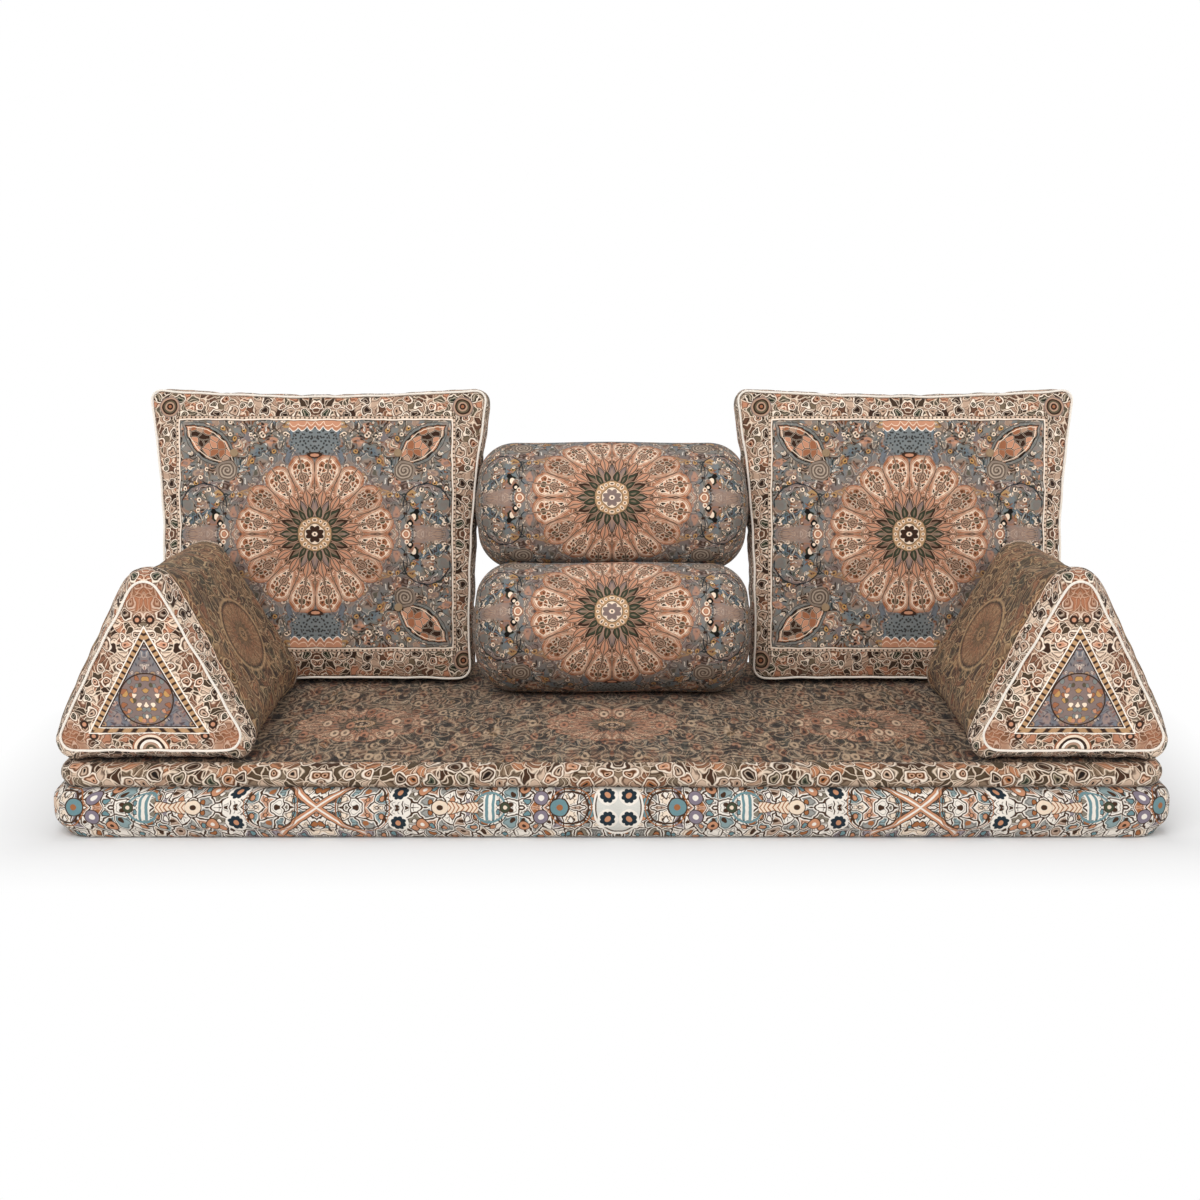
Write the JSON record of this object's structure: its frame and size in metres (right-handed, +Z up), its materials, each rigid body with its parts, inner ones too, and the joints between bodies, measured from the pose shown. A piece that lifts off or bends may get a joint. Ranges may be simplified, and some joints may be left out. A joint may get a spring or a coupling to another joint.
{
  "type": "majlis floor sofa",
  "caption": "Low floor sofa: a long box mattress with leaning back cushions, stacked bolsters and wedge armrests in printed carpet-pattern covers.",
  "frame": {"origin": "on the floor, under the middle of the mattress", "axes": "+X along the sofa to the sitter's left, -Y to the front of the sofa, +Z up"},
  "size_m": [1.9, 0.8, 0.7071],
  "materials": {
    "carpet_cloth": "printed velvet with a traditional medallion carpet pattern",
    "mattress_cloth": "printed velvet, dark taupe ground",
    "border_cloth": "printed velvet, ivory ground with scrolls and flowers",
    "lining_cloth": "plain woven lining",
    "piping_cord": "cream twisted piping cord",
    "fibre_fill": "white polyester fibre",
    "foam": "cut foam",
    "twine": "waxed tufting twine",
    "zip_tape": "woven zip tape with nylon coils",
    "zip_metal": "antique brass"
  },
  "bodies": {
    "mattress": {"mattress_top_panel": "mattress_cloth", "mattress_boxing": "border_cloth", "mattress_bottom_panel": "lining_cloth", "mattress_foam_core": "foam", "mattress_zip_tape": "zip_tape"},
    "mattress_zip_slider": {"mattress_zip_slider": "zip_metal"},
    "mattress_zip_pull": {"mattress_zip_pull": "zip_metal"},
    "back_cushion_left": {"back_cushion_left_front_panel": "carpet_cloth", "back_cushion_left_gusset": "border_cloth", "back_cushion_left_back_panel": "lining_cloth", "back_cushion_left_piping": "piping_cord", "back_cushion_left_filling": "fibre_fill", "back_cushion_left_tuft_buttons": "carpet_cloth", "back_cushion_left_tuft_twine": "twine", "back_cushion_left_zip_tape": "zip_tape"},
    "back_cushion_left_zip_slider": {"back_cushion_left_zip_slider": "zip_metal"},
    "back_cushion_left_zip_pull": {"back_cushion_left_zip_pull": "zip_metal"},
    "armrest_left": {"armrest_left_wrap": "carpet_cloth", "armrest_left_end_panels": "border_cloth", "armrest_left_piping": "piping_cord", "armrest_left_foam_core": "foam", "armrest_left_zip_tape": "zip_tape"},
    "armrest_left_zip_slider": {"armrest_left_zip_slider": "zip_metal"},
    "armrest_left_zip_pull": {"armrest_left_zip_pull": "zip_metal"},
    "back_cushion_right": {"back_cushion_right_front_panel": "carpet_cloth", "back_cushion_right_gusset": "border_cloth", "back_cushion_right_back_panel": "lining_cloth", "back_cushion_right_piping": "piping_cord", "back_cushion_right_filling": "fibre_fill", "back_cushion_right_tuft_buttons": "carpet_cloth", "back_cushion_right_tuft_twine": "twine", "back_cushion_right_zip_tape": "zip_tape"},
    "back_cushion_right_zip_slider": {"back_cushion_right_zip_slider": "zip_metal"},
    "back_cushion_right_zip_pull": {"back_cushion_right_zip_pull": "zip_metal"},
    "armrest_right": {"armrest_right_wrap": "carpet_cloth", "armrest_right_end_panels": "border_cloth", "armrest_right_piping": "piping_cord", "armrest_right_foam_core": "foam", "armrest_right_zip_tape": "zip_tape"},
    "armrest_right_zip_slider": {"armrest_right_zip_slider": "zip_metal"},
    "armrest_right_zip_pull": {"armrest_right_zip_pull": "zip_metal"},
    "bolster_lower": {"bolster_lower_wrap": "carpet_cloth", "bolster_lower_end_caps": "carpet_cloth", "bolster_lower_filling": "fibre_fill", "bolster_lower_zip_tape": "zip_tape"},
    "bolster_lower_zip_slider": {"bolster_lower_zip_slider": "zip_metal"},
    "bolster_lower_zip_pull": {"bolster_lower_zip_pull": "zip_metal"},
    "bolster_upper": {"bolster_upper_wrap": "carpet_cloth", "bolster_upper_end_caps": "carpet_cloth", "bolster_upper_filling": "fibre_fill", "bolster_upper_zip_tape": "zip_tape"},
    "bolster_upper_zip_slider": {"bolster_upper_zip_slider": "zip_metal"},
    "bolster_upper_zip_pull": {"bolster_upper_zip_pull": "zip_metal"}
  },
  "joints": [
    {"name": "back_cushion_right_lift", "type": "slide", "parent": "mattress", "child": "back_cushion_right", "axis": [0, 0, 1], "range_m": [0, 0.65]},
    {"name": "back_cushion_left_lift", "type": "slide", "parent": "mattress", "child": "back_cushion_left", "axis": [0, 0, 1], "range_m": [0, 0.65]},
    {"name": "armrest_right_lift", "type": "slide", "parent": "mattress", "child": "armrest_right", "axis": [0, 0, 1], "range_m": [0, 0.4]},
    {"name": "armrest_left_lift", "type": "slide", "parent": "mattress", "child": "armrest_left", "axis": [0, 0, 1], "range_m": [0, 0.4]},
    {"name": "bolster_lower_lift", "type": "slide", "parent": "mattress", "child": "bolster_lower", "axis": [0, -0.7071, 0.7071], "range_m": [0, 0.5]},
    {"name": "bolster_upper_lift", "type": "slide", "parent": "bolster_lower", "child": "bolster_upper", "axis": [0, -0.7071, 0.7071], "range_m": [0, 0.4]},
    {"name": "mattress_zip_slide", "type": "slide", "parent": "mattress", "child": "mattress_zip_slider", "axis": [1, 0, 0], "range_m": [0, 1.452]},
    {"name": "mattress_pull_flip", "type": "hinge", "parent": "mattress_zip_slider", "child": "mattress_zip_pull", "pos_m": [-0.726, 0.3985, 0.05], "axis": [0, 0, 1], "range_deg": [0, 180]},
    {"name": "bolster_lower_zip_slide", "type": "slide", "parent": "bolster_lower", "child": "bolster_lower_zip_slider", "axis": [1, 0, 0], "range_m": [0, 0.332]},
    {"name": "bolster_lower_pull_flip", "type": "hinge", "parent": "bolster_lower_zip_slider", "child": "bolster_lower_zip_pull", "pos_m": [-0.166, 0.2585, 0.2553], "axis": [0, 0, 1], "range_deg": [0, 180]},
    {"name": "bolster_upper_zip_slide", "type": "slide", "parent": "bolster_upper", "child": "bolster_upper_zip_slider", "axis": [1, 0, 0], "range_m": [0, 0.332]},
    {"name": "bolster_upper_pull_flip", "type": "hinge", "parent": "bolster_upper_zip_slider", "child": "bolster_upper_zip_pull", "pos_m": [-0.166, 0.3795, 0.47441], "axis": [0, 0, 1], "range_deg": [0, 180]},
    {"name": "back_cushion_right_zip_slide", "type": "slide", "parent": "back_cushion_right", "child": "back_cushion_right_zip_slider", "axis": [1, 0, 0], "range_m": [0, 0.372]},
    {"name": "back_cushion_right_pull_flip", "type": "hinge", "parent": "back_cushion_right_zip_slider", "child": "back_cushion_right_zip_pull", "pos_m": [0.39223, 0.31822, 0.28709], "axis": [0, 0.1599, 0.9871], "range_deg": [0, 180]},
    {"name": "back_cushion_left_zip_slide", "type": "slide", "parent": "back_cushion_left", "child": "back_cushion_left_zip_slider", "axis": [-1, 0, 0], "range_m": [0, 0.372]},
    {"name": "back_cushion_left_pull_flip", "type": "hinge", "parent": "back_cushion_left_zip_slider", "child": "back_cushion_left_zip_pull", "pos_m": [-0.39223, 0.31822, 0.28709], "axis": [0, -0.1599, -0.9871], "range_deg": [0, 180]},
    {"name": "armrest_right_zip_slide", "type": "slide", "parent": "armrest_right", "child": "armrest_right_zip_slider", "axis": [0, 1, 0], "range_m": [0, 0.272]},
    {"name": "armrest_right_pull_flip", "type": "hinge", "parent": "armrest_right_zip_slider", "child": "armrest_right_zip_pull", "pos_m": [0.91747, -0.25417, 0.22397], "axis": [0.471, 0, -0.8821], "range_deg": [0, 180]},
    {"name": "armrest_left_zip_slide", "type": "slide", "parent": "armrest_left", "child": "armrest_left_zip_slider", "axis": [0, 1, 0], "range_m": [0, 0.272]},
    {"name": "armrest_left_pull_flip", "type": "hinge", "parent": "armrest_left_zip_slider", "child": "armrest_left_zip_pull", "pos_m": [-0.91747, -0.25417, 0.22397], "axis": [0.471, 0, 0.8821], "range_deg": [0, 180]}
  ]
}
